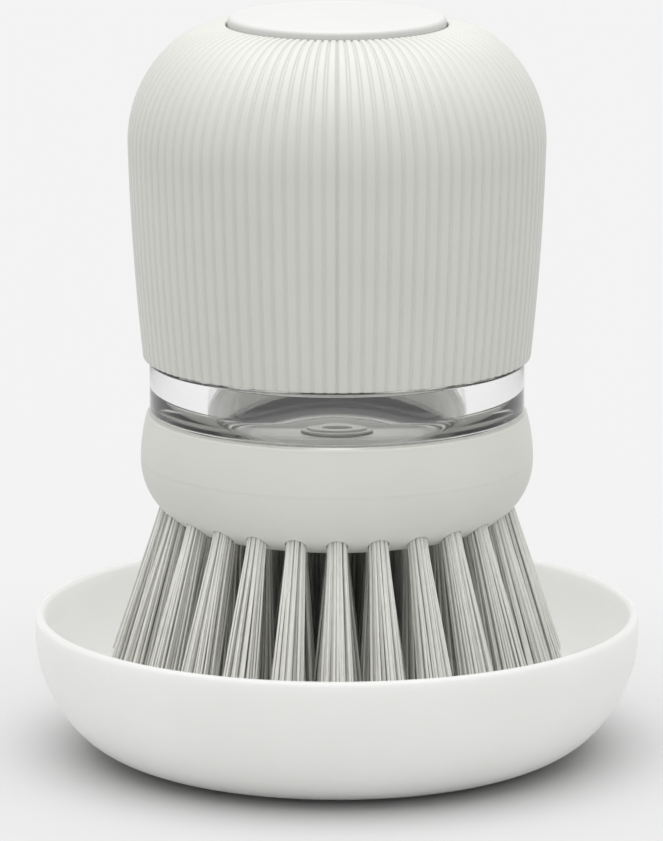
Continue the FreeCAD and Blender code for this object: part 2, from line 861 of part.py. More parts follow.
def make_pump_lid():
    """Lid over the reservoir with the air pump's barrel, spring post, air ports and vent holes."""
    barrel_top = button_flange_bottom - size["button_travel"] - size["spring_post_height"]
    barrel_outer = barrel_radius + size["barrel_wall"]
    post_top = lid_top + size["spring_post_height"]
    lid_radius = thread_radius - size["lid_clearance"]
    body = revolved("pump_lid", [
        (0, lid_bottom),
        (lid_radius, lid_bottom),
        (lid_radius, lid_top),
        (barrel_outer, lid_top),
        (barrel_outer, barrel_top),
        (barrel_radius, barrel_top),
        (barrel_radius, lid_top),
        (spring_post_radius, lid_top),
        (spring_post_radius, post_top),
        (0, post_top),
    ])
    stem_hole = size["vent_stem_radius"] + size["ring_clearance"]
    circle_pocket(body, "vent_stem_hole", [(vent_ring_radius, 0)], stem_hole)
    circle_pocket(body, "vent_holes", vent_hole_places(), size["vent_hole_radius"])
    port = circle_pocket(body, "air_port", [(port_ring_radius, 0)], size["port_radius"])
    ports = body.newObject("PartDesign::PolarPattern", "air_ports")
    ports.Originals = [port]
    ports.Axis = (port.Profile[0], ["N_Axis"])
    ports.Angle = 360
    ports.setExpression("Occurrences", size["port_count"].text)
    body.Tip = ports
    document.recompute()


def vent_hole_places():
    """Centres of the small vent holes, on a ring round the vent valve's stem."""
    places = []
    count = int(size["vent_hole_count"].value)
    for index in range(count):
        angle = as_size(360.0 * (index + 0.5) / count)
        across = vent_ring_radius + size["vent_hole_ring"] * cosine(angle)
        along = size["vent_hole_ring"] * sine(angle)
        places.append((across, along))
    return places


def make_vent_valve():
    """Silicone umbrella valve: a cap under the lid, a stem through it and a bulb that holds it."""
    gap = size["ring_clearance"]
    cap_top = lid_bottom - gap
    cap_bottom_edge = cap_top - size["vent_cap_height"]
    bulb_bottom = lid_top + gap
    stem = size["vent_stem_radius"]
    body = revolved("vent_valve", [
        (0, cap_bottom_edge),
        (stem, cap_bottom_edge),
        (size["vent_cap_radius"], cap_top - size["vent_cap_height"] / 2.0),
        (size["vent_cap_radius"], cap_top),
        (stem, cap_top),
        (stem, bulb_bottom),
        (size["vent_bulb_radius"], bulb_bottom),
        (stem / 2.0, bulb_bottom + size["vent_bulb_height"]),
        (0, bulb_bottom + size["vent_bulb_height"]),
    ])
    body.setExpression("Placement.Base.x", vent_ring_radius.text)
    document.recompute()


def make_push_button():
    """Round push button whose hollow stem is the pump's piston, held in by a flange."""
    radius = button_radius
    edge = size["button_edge"]
    flange_radius = radius + size["button_flange"]
    piston = piston_radius
    hollow = piston - size["piston_wall"]
    groove_depth = size["piston_seal_wire"] * 2.0 - size["barrel_clearance"] + size["piston_fit"] * 2.0
    groove_top = piston_seal_height + size["piston_seal_wire"] + size["piston_fit"]
    groove_bottom = piston_seal_height - size["piston_seal_wire"] - size["piston_fit"]
    post_bottom = button_ceiling - size["spring_post_height"]
    revolved("push_button", [
        (0, post_bottom),
        (spring_post_radius, post_bottom),
        (spring_post_radius, button_ceiling),
        (hollow, button_ceiling),
        (hollow, piston_bottom),
        (piston, piston_bottom),
        (piston, groove_bottom),
        (piston - groove_depth, groove_bottom),
        (piston - groove_depth, groove_top),
        (piston, groove_top),
        (piston, button_flange_bottom),
        (flange_radius, button_flange_bottom),
        (flange_radius, button_flange_top),
        (radius, button_flange_top),
        (radius, button_top - edge),
        (radius - edge, button_top, edge, 1),
        (0, button_top),
    ])


def make_return_spring():
    """Compression spring between the lid and the button, one unbroken round wire."""
    wire = size["spring_wire"]
    lowest = lid_top + wire + size["face_gap"]
    highest = button_ceiling - wire - size["face_gap"]
    turns = size["spring_turns"].value
    pitch = (highest.value - lowest.value) / turns
    helix = Part.makeHelix(pitch, pitch * turns, spring_radius.value)
    start = FreeCAD.Vector(spring_radius.value, 0, 0)
    along = FreeCAD.Vector(0, spring_radius.value, pitch / (2 * math.pi))
    section = Part.Wire(Part.makeCircle(wire.value, start, along))
    coil = Part.Wire(helix).makePipeShell([section], True, True)
    spring = document.addObject("Part::Feature", "return_spring")
    spring.Label = "return_spring"
    spring.Shape = coil
    spring.Placement = FreeCAD.Placement(FreeCAD.Vector(0, 0, lowest.value), FreeCAD.Rotation())
    pieces.append(spring)
    print(f"return_spring: least gap between turns {pitch - 2 * wire.value:.2f} mm")


piston_seal_height = piston_bottom + size["piston_seal_inset"]
rings = [TuftRing(name) for name in ("outer", "middle", "inner", "centre")]

make_tray()
make_brush_block(rings)
make_head_collar()
for tuft_ring in rings:
    make_tufts(tuft_ring)
    make_anchors(tuft_ring)
make_reservoir()
ring_height = ring_seat_bottom + size["ring_clearance"] + size["ring_wire"]
make_ring("spout_seal", ring_radius, size["ring_wire"], ring_height)
make_slit_valve()
make_valve_collar()
make_neck_gasket()
make_cap_core()
make_grip_cover()
make_pump_lid()
make_vent_valve()
make_push_button()
piston_seal_radius = barrel_radius - size["piston_fit"] - size["piston_seal_wire"]
make_ring("piston_seal", piston_seal_radius, size["piston_seal_wire"], piston_seal_height)
make_return_spring()

document.recompute()
for item in document.Objects:
    if "Invalid" in item.State or "Error" in item.State:
        raise RuntimeError(f"{item.Label} did not build")
os.makedirs("parts", exist_ok=True)
for piece in pieces:
    if piece.Shape.isNull() or not piece.Shape.isValid():
        raise RuntimeError(f"{piece.Label} has no valid solid")
    piece.Shape.exportStep(f"parts/{piece.Label}.step")
print(f"{len(pieces)} pieces, button top at {button_top.value:.2f} mm")
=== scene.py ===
import json
import math
import random

import bmesh
import bpy
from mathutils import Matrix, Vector


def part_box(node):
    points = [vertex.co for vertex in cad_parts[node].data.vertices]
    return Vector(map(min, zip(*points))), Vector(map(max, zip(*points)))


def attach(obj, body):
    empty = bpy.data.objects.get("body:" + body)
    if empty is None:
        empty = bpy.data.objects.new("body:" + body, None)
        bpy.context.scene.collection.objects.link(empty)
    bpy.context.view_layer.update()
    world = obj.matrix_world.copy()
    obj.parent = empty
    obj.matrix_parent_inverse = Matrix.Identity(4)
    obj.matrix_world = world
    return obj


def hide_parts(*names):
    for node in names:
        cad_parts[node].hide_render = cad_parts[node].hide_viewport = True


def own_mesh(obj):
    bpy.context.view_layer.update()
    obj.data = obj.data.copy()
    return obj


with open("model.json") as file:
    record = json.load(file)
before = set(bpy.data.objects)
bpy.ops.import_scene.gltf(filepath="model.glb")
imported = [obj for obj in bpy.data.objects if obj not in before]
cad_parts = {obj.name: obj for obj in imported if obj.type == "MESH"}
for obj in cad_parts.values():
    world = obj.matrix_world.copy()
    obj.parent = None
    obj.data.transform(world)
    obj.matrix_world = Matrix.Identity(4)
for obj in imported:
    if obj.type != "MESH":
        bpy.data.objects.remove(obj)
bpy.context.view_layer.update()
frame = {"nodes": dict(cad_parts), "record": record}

MM = 0.001


# Sizes in millimetres and angles in degrees, read from the frame or given here

def box_mm(node):
    """Lowest and highest corner of a node's box."""
    low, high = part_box(node)
    return low / MM, high / MM


tray_high = box_mm("drip_tray")[1]
block_low, block_high = box_mm("brush_block")
collar_high = box_mm("head_collar")[1]
tank_low, tank_high = box_mm("reservoir")
cover_low, cover_high = box_mm("grip_cover")
button_low, button_high = box_mm("push_button")
spring_low, spring_high = box_mm("return_spring")

ROUND_STEPS = 192
EDGE_STEPS = 6
SHARP_ANGLE = 35.0

TRAY_WALL = 1.6
TRAY_BELLY_WIDTH = 18.1
TRAY_RIM = 2.9
GUTTER_FLOOR = 2.0
REST_HEIGHT = 13.0
REST_EDGE = 1.6
FOOT_EDGE = 0.5
GUTTER_FILLET = 1.2
HOLLOW_FILLET = 1.5
TRAY_ARC_STEPS = 14
REST_EDGE_STEPS = 8

HEAD_INSET = 1.0
HEAD_WALL = 2.25
HEAD_TOP_GAP = 0.15
HEAD_EDGE = 0.4
HEAD_EDGE_START = 15
HEAD_CORNER = 11.2
FLANK_START = 0.05
FLANK_STEPS = 16
SEAM_EDGE = 0.03
SEAM_GAP = 0.01

OUTLET_RADIUS = 3.0
SPOUT_RADIUS = 4.9
TANK_BOTTOM = 50.55
SPIGOT_RADIUS = 29.0
SPIGOT_CORNER = 2.0
BAND_BOTTOM = 57.6
BAND_TOP = 66.05
BAND_EDGE = 0.45
NECK_RADIUS = 28.8
TANK_RADIUS = 27.0
TANK_FLOOR_TOP = 52.95
BORE_RADIUS = 21.5
BORE_FILLET = 7.0
BORE_FILLET_STEPS = 24
BORE_SHELF = 66.6
VALVE_SEAT_RADIUS = 4.45
VALVE_SEAT_HEIGHT = 51.75
THREAD_START = 68.0
THREAD_PITCH = 6.0
THREAD_TURNS = 1.7
THREAD_HEIGHT = 0.18
THREAD_BASE = 1.5
THREAD_CREST = 0.7
THREAD_LIFT = 0.01
THREAD_FADE = 12
THREAD_SECTIONS = 220

GRIP_FLARE = 2.3
GRIP_SIDE = 35.95
GRIP_BULGE = 0.35
SHOULDER_RADIUS = 21.0
SHOULDER_ANGLE = 48.0
CROWN_RADIUS = 14.0
COVER_WALL = 1.55
COVER_EDGE = 0.35
COVER_GAP = 0.15
COVER_SHARP_ANGLE = 50.0
SIDE_STEPS = 22
SHOULDER_STEPS = 16
CROWN_STEPS = 14
INNER_SIDE_STEPS = 5
INNER_DOME_STEPS = 8
RIB_COUNT = 100
RIB_DEPTH = 0.35
GROOVE_HALF = 0.27
RIB_SHARES = (0.0, 0.07, 0.14, 0.2, 0.27, 0.38, 0.5, 0.62, 0.73, 0.8, 0.86, 0.93)
SEAM_HALF = 0.08
SEAM_HEIGHT = 0.18
SEAM_SHARES = (-0.08, -0.055, -0.03, 0.03, 0.055, 0.08)

BUTTON_CLEARANCE = 0.3
BUTTON_RADIUS = 17.85
BUTTON_EDGE = 0.8
BUTTON_EDGE_STEPS = 10
BUTTON_STEPS = 160
BUTTON_ROOF = 2.6
BUTTON_FLANGE = 1.4
BUTTON_FLANGE_DROP = 3.2
PISTON_RADIUS = 14.6
PISTON_WALL = 2.0
SEAL_GROOVE_DEPTH = 1.2
SEAL_GROOVE_HALF = 0.8
SEAL_RISE = 3.0
POST_RADIUS = 7.9
POST_HEIGHT = 3.5
POST_EDGE = 0.4
SPRING_WIRE = 0.6
SPRING_TURNS = 9
SPRING_TURN_STEPS = 36
SPRING_SIDES = 10

FRONT = -90.0
TUFT_RADIUS = 1.7
FILAMENT_RADIUS = 0.21
FILAMENT_CLEARANCE = 0.06
FILAMENT_SIDES = 5
FILAMENT_STEPS = 5
FILAMENT_ROOT = -2.5
FAN_LEAST = 0.9
FAN_MOST = 1.08
FAN_CURVE = 0.95
PLACE_TWIST = 0.2
TIP_TWIST = 0.1
SWAY = 0.1
TIP_UNEVENNESS = 0.5
NEARLY_UPRIGHT = 0.001
BRISTLE_SHARP_ANGLE = 60.0
FIRST_SEED = 11
TUFT_ROWS = {
    "outer": {
        "share": 0.861, "splay": 15.5, "tip": 3.1, "gap": 1.2, "count": 26, "filaments": 72, "fan": 3.2},
    "middle": {
        "share": 0.648, "splay": 8.0, "tip": 2.6, "gap": 0.25, "count": 20, "filaments": 64, "fan": 4.6},
    "inner": {
        "share": 0.432, "splay": 3.0, "tip": 2.4, "gap": 0.25, "count": 13, "filaments": 60, "fan": 4.6},
    "centre": {
        "share": 0.247, "splay": 1.0, "tip": 2.2, "gap": 0.25, "count": 7, "filaments": 60, "fan": 4.6},
}


# Outlines in the half plane, as (radius, height) points

def arc(centre, radius, start, end, steps):
    """Points of an arc from one angle to another, in degrees."""
    points = []
    for step in range(steps + 1):
        angle = math.radians(start + (end - start) * step / steps)
        points.append((centre[0] + radius * math.cos(angle), centre[1] + radius * math.sin(angle)))
    return points


def bend(before, corner, after, steps=4):
    """Soft corner from one point to another, drawn towards the corner between them."""
    points = []
    for step in range(steps + 1):
        share = step / steps
        weights = ((1 - share) ** 2, 2 * share * (1 - share), share ** 2)
        radius = sum(weight * point[0] for weight, point in zip(weights, (before, corner, after)))
        height = sum(weight * point[1] for weight, point in zip(weights, (before, corner, after)))
        points.append((radius, height))
    return points


def even_angles(count):
    return [360.0 * index / count for index in range(count)]


# Meshes

def spin(outline_at, angles):
    """Closed skin of the outline at each angle, joined to the outline at the next angle."""
    outlines = [outline_at(angle) for angle in angles]
    rows = len(outlines[0])
    vertices = []
    index = {}
    for row in range(rows):
        on_axis = outlines[0][row][0] == 0
        for column, angle in enumerate(angles):
            if on_axis and column:
                index[column, row] = index[0, row]
                continue
            radius, height = outlines[column][row]
            turn = math.radians(angle)
            index[column, row] = len(vertices)
            vertices.append((radius * math.cos(turn) * MM, radius * math.sin(turn) * MM, height * MM))
    faces = []
    for column in range(len(angles)):
        beside = (column + 1) % len(angles)
        for row in range(rows):
            above = (row + 1) % rows
            near = (index[column, row], index[beside, row])
            far = (index[beside, above], index[column, above])
            face = tuple(dict.fromkeys(near + far))
            if len(face) > 2:
                faces.append(face)
    return vertices, faces


def turn_round(outline, steps):
    """Closed skin of one outline turned all the way round the axis."""
    return spin(lambda angle: outline, even_angles(steps))


def skin_rings(first, rings, sides):
    """Faces of a closed tube from rings of vertices, of which the first vertex is given."""
    faces = []
    for ring in range(rings - 1):
        low = first + ring * sides
        high = low + sides
        for side in range(sides):
            beside = (side + 1) % sides
            faces.append((low + side, low + beside, high + beside, high + side))
    last = first + (rings - 1) * sides
    faces.append(tuple(range(first, first + sides)))
    faces.append(tuple(range(last, last + sides)))
    return faces


def add_piece(name, mesh_data, body, slot, stands_for=(), sharp_angle=SHARP_ANGLE):
    """Mesh object that rides on a body and stands for CAD nodes."""
    vertices, faces = mesh_data
    mesh = bpy.data.meshes.new(name)
    mesh.from_pydata(vertices, [], faces)
    shape = bmesh.new()
    shape.from_mesh(mesh)
    bmesh.ops.recalc_face_normals(shape, faces=shape.faces)
    shape.to_mesh(mesh)
    shape.free()
    mesh.shade_smooth()
    mesh.set_sharp_from_angle(angle=math.radians(sharp_angle))
    mesh.materials.append(materials[slot])
    piece = bpy.data.objects.new(name, mesh)
    bpy.context.scene.collection.objects.link(piece)
    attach(piece, body)
    if stands_for:
        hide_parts(*stands_for)
    return piece


# Materials

def linear(level):
    """Linear value of a display level from 0 to 255."""
    share = level / 255.0
    if share <= 0.04045:
        return share / 12.92
    return ((share + 0.055) / 1.055) ** 2.4


def colour(red, green, blue):
    return (linear(red), linear(green), linear(blue), 1.0)


class Paint:
    """Node material with noise to vary colour, roughness and surface."""

    def __init__(self, name):
        self.material = bpy.data.materials.new(name)
        self.material.use_nodes = True
        self.nodes = self.material.node_tree.nodes
        self.links = self.material.node_tree.links
        self.shader = self.nodes["Principled BSDF"]
        self.place = self.nodes.new("ShaderNodeTexCoord").outputs["Object"]

    def noise(self, scale, detail=2.0, stretch=(1.0, 1.0, 1.0)):
        mapping = self.nodes.new("ShaderNodeMapping")
        mapping.inputs["Scale"].default_value = stretch
        self.links.new(self.place, mapping.inputs["Vector"])
        noise = self.nodes.new("ShaderNodeTexNoise")
        noise.inputs["Scale"].default_value = scale
        noise.inputs["Detail"].default_value = detail
        self.links.new(mapping.outputs["Vector"], noise.inputs["Vector"])
        return noise.outputs["Fac"]

    def colours(self, value, first, second, low=0.35, high=0.65):
        ramp = self.nodes.new("ShaderNodeValToRGB")
        ramp.color_ramp.elements[0].position = low
        ramp.color_ramp.elements[0].color = first
        ramp.color_ramp.elements[1].position = high
        ramp.color_ramp.elements[1].color = second
        self.links.new(value, ramp.inputs["Fac"])
        self.links.new(ramp.outputs["Color"], self.shader.inputs["Base Color"])

    def roughness(self, value, low, high):
        spread = self.nodes.new("ShaderNodeMapRange")
        spread.inputs["To Min"].default_value = low
        spread.inputs["To Max"].default_value = high
        self.links.new(value, spread.inputs["Value"])
        self.links.new(spread.outputs["Result"], self.shader.inputs["Roughness"])

    def surface(self, value, depth, strength=0.5):
        bump = self.nodes.new("ShaderNodeBump")
        bump.inputs["Strength"].default_value = strength
        bump.inputs["Distance"].default_value = depth
        self.links.new(value, bump.inputs["Height"])
        self.links.new(bump.outputs["Normal"], self.shader.inputs["Normal"])

    def let_light_through(self):
        """Let light reach what lies behind clear walls, which would otherwise shade it."""
        clear = self.nodes.new("ShaderNodeBsdfTransparent")
        path = self.nodes.new("ShaderNodeLightPath")
        either = self.nodes.new("ShaderNodeMath")
        either.operation = "MAXIMUM"
        mix = self.nodes.new("ShaderNodeMixShader")
        self.links.new(path.outputs["Is Shadow Ray"], either.inputs[0])
        self.links.new(path.outputs["Is Diffuse Ray"], either.inputs[1])
        self.links.new(either.outputs["Value"], mix.inputs["Fac"])
        self.links.new(self.shader.outputs["BSDF"], mix.inputs[1])
        self.links.new(clear.outputs["BSDF"], mix.inputs[2])
        self.links.new(mix.outputs["Shader"], self.nodes["Material Output"].inputs["Surface"])

    def fixed(self, name, value):
        self.shader.inputs[name].default_value = value


def moulded_plastic(name, first, second, rough_low, rough_high, grain_depth, scatter=0.0):
    """Satin moulded plastic: slow flow of colour, finer change of gloss, fine spark-eroded grain.

    Scatter is how far light travels under the surface, in metres.
    """
    paint = Paint(name)
    paint.colours(paint.noise(scale=45.0, detail=3.0), first, second)
    paint.roughness(paint.noise(scale=260.0, detail=3.0), rough_low, rough_high)
    paint.surface(paint.noise(scale=2600.0), grain_depth)
    paint.fixed("IOR", 1.5)
    if scatter:
        paint.fixed("Subsurface Weight", 1.0)
        paint.fixed("Subsurface Radius", (1.0, 1.0, 1.0))
        paint.fixed("Subsurface Scale", scatter)
    return paint.material


def clear_plastic(name):
    """Clear polished plastic with faint flow marks."""
    paint = Paint(name)
    paint.colours(paint.noise(scale=60.0), (0.985, 0.99, 0.99, 1.0), (1.0, 1.0, 1.0, 1.0))
    paint.roughness(paint.noise(scale=320.0), low=0.015, high=0.06)
    flow = paint.noise(scale=140.0, detail=1.0, stretch=(1.0, 1.0, 0.4))
    paint.surface(flow, depth=0.00004, strength=0.3)
    paint.fixed("Transmission Weight", 1.0)
    paint.fixed("IOR", 1.58)
    paint.let_light_through()
    return paint.material


def nylon(name, first, second):
    """Light grey nylon filament, streaked along its length."""
    paint = Paint(name)
    paint.colours(paint.noise(scale=2200.0, stretch=(1.0, 1.0, 0.03)), first, second, low=0.3, high=0.7)
    paint.roughness(paint.noise(scale=900.0, stretch=(1.0, 1.0, 0.1)), low=0.32, high=0.5)
    paint.surface(paint.noise(scale=3000.0, stretch=(1.0, 1.0, 0.05)), depth=0.00002)
    paint.fixed("IOR", 1.53)
    return paint.material


def rubber(name, first, second, rough_low, rough_high):
    """Matte moulded rubber or silicone with a dusty bloom."""
    paint = Paint(name)
    paint.colours(paint.noise(scale=400.0, detail=4.0), first, second)
    paint.roughness(paint.noise(scale=700.0, detail=3.0), rough_low, rough_high)
    paint.surface(paint.noise(scale=3200.0, detail=3.0), depth=0.00003)
    return paint.material


def drawn_metal(name, first, second, rough_low, rough_high):
    """Drawn wire with fine lines along it."""
    paint = Paint(name)
    paint.colours(paint.noise(scale=600.0, detail=3.0), first, second)
    paint.roughness(paint.noise(scale=1500.0, stretch=(1.0, 1.0, 0.2)), rough_low, rough_high)
    paint.surface(paint.noise(scale=4000.0, stretch=(1.0, 1.0, 0.15)), depth=0.00001)
    paint.fixed("Metallic", 1.0)
    return paint.material


materials = {
    "tray_plastic": moulded_plastic(
        "tray_plastic", colour(227, 227, 225), colour(230, 230, 228),
        rough_low=0.3, rough_high=0.38, grain_depth=0.000012, scatter=0.004),
    "body_plastic": moulded_plastic(
        "body_plastic", colour(201, 202, 196), colour(205, 206, 200),
        rough_low=0.4, rough_high=0.5, grain_depth=0.000025),
    "button_plastic": moulded_plastic(
        "button_plastic", colour(203, 203, 201), colour(207, 207, 205),
        rough_low=0.36, rough_high=0.46, grain_depth=0.00002),
    "inner_plastic": moulded_plastic(
        "inner_plastic", colour(196, 196, 193), colour(202, 202, 199),
        rough_low=0.4, rough_high=0.5, grain_depth=0.00002),
    "clear_plastic": clear_plastic("clear_plastic"),
    "bristle": nylon("bristle", colour(213, 213, 208), colour(226, 226, 221)),
    "anchor_wire": drawn_metal(
        "anchor_wire", colour(196, 196, 196), colour(214, 214, 214), rough_low=0.25, rough_high=0.4),
    "seal_rubber": rubber(
        "seal_rubber", colour(38, 38, 39), colour(52, 52, 53), rough_low=0.55, rough_high=0.75),
    "valve_silicone": rubber(
        "valve_silicone", colour(176, 176, 173), colour(188, 188, 185), rough_low=0.45, rough_high=0.6),
    "spring_steel": drawn_metal(
        "spring_steel", colour(150, 151, 153), colour(184, 185, 187), rough_low=0.2, rough_high=0.35),
}


# Drip tray

def tray_outline():
    radius = tray_high.x
    belly = tray_high.z - TRAY_RIM
    foot = radius - TRAY_BELLY_WIDTH
    rest = foot - GUTTER_FLOOR
    lip = TRAY_WALL / 2
    diagonal = math.sqrt(0.5)
    upper = ((TRAY_BELLY_WIDTH + belly) * diagonal - TRAY_BELLY_WIDTH) / (2 * diagonal - 1)
    lower = TRAY_BELLY_WIDTH + belly - upper
    upper_centre = (radius - upper, belly)
    lower_centre = (foot, lower)
    hollow = rest - TRAY_WALL
    hollow_top = REST_HEIGHT - TRAY_WALL
    points = [(0, hollow_top)]
    points += bend((hollow - HOLLOW_FILLET, hollow_top), (hollow, hollow_top),
                   (hollow, hollow_top - HOLLOW_FILLET))
    points += bend((hollow, FOOT_EDGE), (hollow, 0), (hollow + FOOT_EDGE, 0))
    points += arc(lower_centre, lower, -90, -45, TRAY_ARC_STEPS)
    points += arc(upper_centre, upper, -45, 0, TRAY_ARC_STEPS)[1:]
    points += arc((radius - lip, tray_high.z - lip), lip, 0, 180, TRAY_ARC_STEPS)
    points += arc(upper_centre, upper - TRAY_WALL, 0, -45, TRAY_ARC_STEPS)
    points += arc(lower_centre, lower - TRAY_WALL, -45, -90, TRAY_ARC_STEPS)[1:]
    points += bend((rest + GUTTER_FILLET, TRAY_WALL), (rest, TRAY_WALL),
                   (rest, TRAY_WALL + GUTTER_FILLET))
    points += arc((rest - REST_EDGE, REST_HEIGHT - REST_EDGE), REST_EDGE, 0, 90, REST_EDGE_STEPS)
    points.append((0, REST_HEIGHT))
    return points


tray_bowl = add_piece(
    "tray_bowl", turn_round(tray_outline(), ROUND_STEPS), "tray", "tray_plastic", ["drip_tray"])


# Upper half of the head

def head_collar_outline():
    bottom = block_low.z + HEAD_CORNER + SEAM_GAP
    top = collar_high.z - HEAD_TOP_GAP
    radius = collar_high.x
    top_radius = radius - HEAD_INSET
    socket = top_radius - HEAD_WALL
    flank_up = top - HEAD_EDGE - bottom
    flank = (flank_up ** 2 + HEAD_INSET ** 2) / (2 * HEAD_INSET)
    sweep = math.degrees(math.asin(flank_up / flank))
    points = bend((socket, bottom + SEAM_EDGE), (socket, bottom), (socket + SEAM_EDGE, bottom))
    points += bend((radius - SEAM_EDGE, bottom), (radius, bottom), (radius, bottom + SEAM_EDGE))
    points += arc((radius - flank, bottom), flank, sweep * FLANK_START, sweep, FLANK_STEPS)
    edge_centre = (top_radius - HEAD_EDGE, top - HEAD_EDGE)
    points += arc(edge_centre, HEAD_EDGE, HEAD_EDGE_START, 90, EDGE_STEPS)
    points += bend((socket + HEAD_EDGE, top), (socket, top), (socket, top - HEAD_EDGE))
    return points


head_ring = add_piece(
    "head_ring", turn_round(head_collar_outline(), ROUND_STEPS), "brush", "body_plastic", ["head_collar"])


# Clear tank

def tank_outline():
    """Tank with a thick wall at the clear band and a thin one at the neck above it."""
    top = tank_high.z
    spout_bottom = tank_low.z
    band = tank_high.x
    points = [(OUTLET_RADIUS, spout_bottom), (SPOUT_RADIUS, spout_bottom), (SPOUT_RADIUS, TANK_BOTTOM)]
    corner_centre = (SPIGOT_RADIUS - SPIGOT_CORNER, TANK_BOTTOM + SPIGOT_CORNER)
    points += arc(corner_centre, SPIGOT_CORNER, -90, 0, EDGE_STEPS)
    points.append((SPIGOT_RADIUS, BAND_BOTTOM))
    points += arc((band - BAND_EDGE, BAND_BOTTOM + BAND_EDGE), BAND_EDGE, -90, 0, EDGE_STEPS)
    points += arc((band - BAND_EDGE, BAND_TOP - BAND_EDGE), BAND_EDGE, 0, 90, EDGE_STEPS)
    points += [(NECK_RADIUS, BAND_TOP), (NECK_RADIUS, top), (TANK_RADIUS, top)]
    points += [(TANK_RADIUS, BORE_SHELF), (BORE_RADIUS, BORE_SHELF)]
    fillet_centre = (BORE_RADIUS - BORE_FILLET, TANK_FLOOR_TOP + BORE_FILLET)
    points += arc(fillet_centre, BORE_FILLET, 0, -90, BORE_FILLET_STEPS)
    points += [(VALVE_SEAT_RADIUS, TANK_FLOOR_TOP), (VALVE_SEAT_RADIUS, VALVE_SEAT_HEIGHT)]
    points.append((OUTLET_RADIUS, VALVE_SEAT_HEIGHT))
    return points


add_piece("tank_shell", turn_round(tank_outline(), ROUND_STEPS), "brush", "clear_plastic", ["reservoir"])


def thread_mesh():
    """Shallow screw ridge round the neck, fading out at both ends."""
    vertices = []
    for section in range(THREAD_SECTIONS + 1):
        share = section / THREAD_SECTIONS
        turn = share * THREAD_TURNS * 2 * math.pi
        height = THREAD_START + share * THREAD_TURNS * THREAD_PITCH
        rise = THREAD_HEIGHT * min(1.0, THREAD_FADE * share, THREAD_FADE * (1 - share))
        base = NECK_RADIUS + THREAD_LIFT
        crest = base + rise + THREAD_LIFT
        corners = ((base, -THREAD_BASE / 2), (crest, -THREAD_CREST / 2),
                   (crest, THREAD_CREST / 2), (base, THREAD_BASE / 2))
        for radius, offset in corners:
            across = (radius * math.cos(turn) * MM, radius * math.sin(turn) * MM)
            vertices.append((*across, (height + offset) * MM))
    return vertices, skin_rings(0, THREAD_SECTIONS + 1, len(corners))


add_piece("neck_thread", thread_mesh(), "brush", "clear_plastic")


# Ribbed cover

cover_bottom = cover_low.z + COVER_GAP


def cover_side(depth, steps):
    """Side of the cover at a depth below the rib crests, from its lower edge up to the shoulder."""
    lower_radius = cover_high.x - GRIP_FLARE
    bottom = cover_bottom + COVER_EDGE
    top = cover_low.z + GRIP_SIDE
    length = math.hypot(GRIP_FLARE, top - bottom)
    points = []
    for step in range(steps + 1):
        share = step / steps
        bulge = 4 * GRIP_BULGE * share * (1 - share)
        radius = lower_radius - depth + GRIP_FLARE * share + bulge * (top - bottom) / length
        points.append((radius, bottom + (top - bottom) * share - bulge * GRIP_FLARE / length))
    return points


def cover_dome(depth, hole, shoulder_steps, crown_steps):
    """Shoulder and crown of the cover at a depth, up to the button hole."""
    shoulder = (cover_high.x - SHOULDER_RADIUS, cover_low.z + GRIP_SIDE)
    step = SHOULDER_RADIUS - CROWN_RADIUS
    lean = math.radians(SHOULDER_ANGLE)
    crown = (shoulder[0] + step * math.cos(lean), shoulder[1] + step * math.sin(lean))
    end = math.degrees(math.acos((hole - crown[0]) / (CROWN_RADIUS - depth)))
    points = arc(shoulder, SHOULDER_RADIUS - depth, 0, SHOULDER_ANGLE, shoulder_steps)[1:]
    return points + arc(crown, CROWN_RADIUS - depth, SHOULDER_ANGLE, end, crown_steps)[1:]


def groove_depth(share):
    """Depth of the groove at a share of the rib pitch from its middle."""
    away = abs(share)
    if away >= GROOVE_HALF:
        return 0.0
    return RIB_DEPTH * 0.5 * (1 + math.cos(math.pi * away / GROOVE_HALF))


def seam_rise(share):
    """Height of the mould seam that runs up inside a groove."""
    away = abs(share)
    if away >= SEAM_HALF:
        return 0.0
    return SEAM_HEIGHT * 0.5 * (1 + math.cos(math.pi * away / SEAM_HALF))


def cover_columns():
    """Angle and groove depth of each column round the cover, from the front groove onwards."""
    pitch = 360.0 / RIB_COUNT
    columns = {}
    for rib in range(RIB_COUNT):
        for share in RIB_SHARES:
            nearest = share if share <= 0.5 else share - 1
            columns[rib * pitch + share * pitch] = groove_depth(nearest)
    for half_turn in (0.0, 180.0):
        for share in SEAM_SHARES:
            columns[(half_turn + share * pitch) % 360] = groove_depth(share) - seam_rise(share)
        columns[half_turn] = groove_depth(0.0) - seam_rise(0.0)
    return columns


cover_depths = cover_columns()
cover_hole = BUTTON_RADIUS + BUTTON_CLEARANCE


def cover_outline(angle):
    depth = cover_depths[angle]
    side = cover_side(depth, SIDE_STEPS)
    foot = (side[0][0] - COVER_EDGE, cover_bottom)
    points = bend(foot, (side[0][0], cover_bottom), side[0])
    points += side[1:]
    points += cover_dome(depth, cover_hole + COVER_EDGE, SHOULDER_STEPS, CROWN_STEPS)
    rim = points[-1]
    points += bend(rim, (cover_hole, rim[1]), (cover_hole, rim[1] - COVER_EDGE))[1:]
    inside = cover_side(COVER_WALL, INNER_SIDE_STEPS)
    inside = [(inside[0][0], cover_bottom)] + inside[1:]
    inside += cover_dome(COVER_WALL, cover_hole + COVER_EDGE, INNER_DOME_STEPS, INNER_DOME_STEPS)
    points.append((cover_hole, inside[-1][1]))
    points += reversed(inside)
    return points


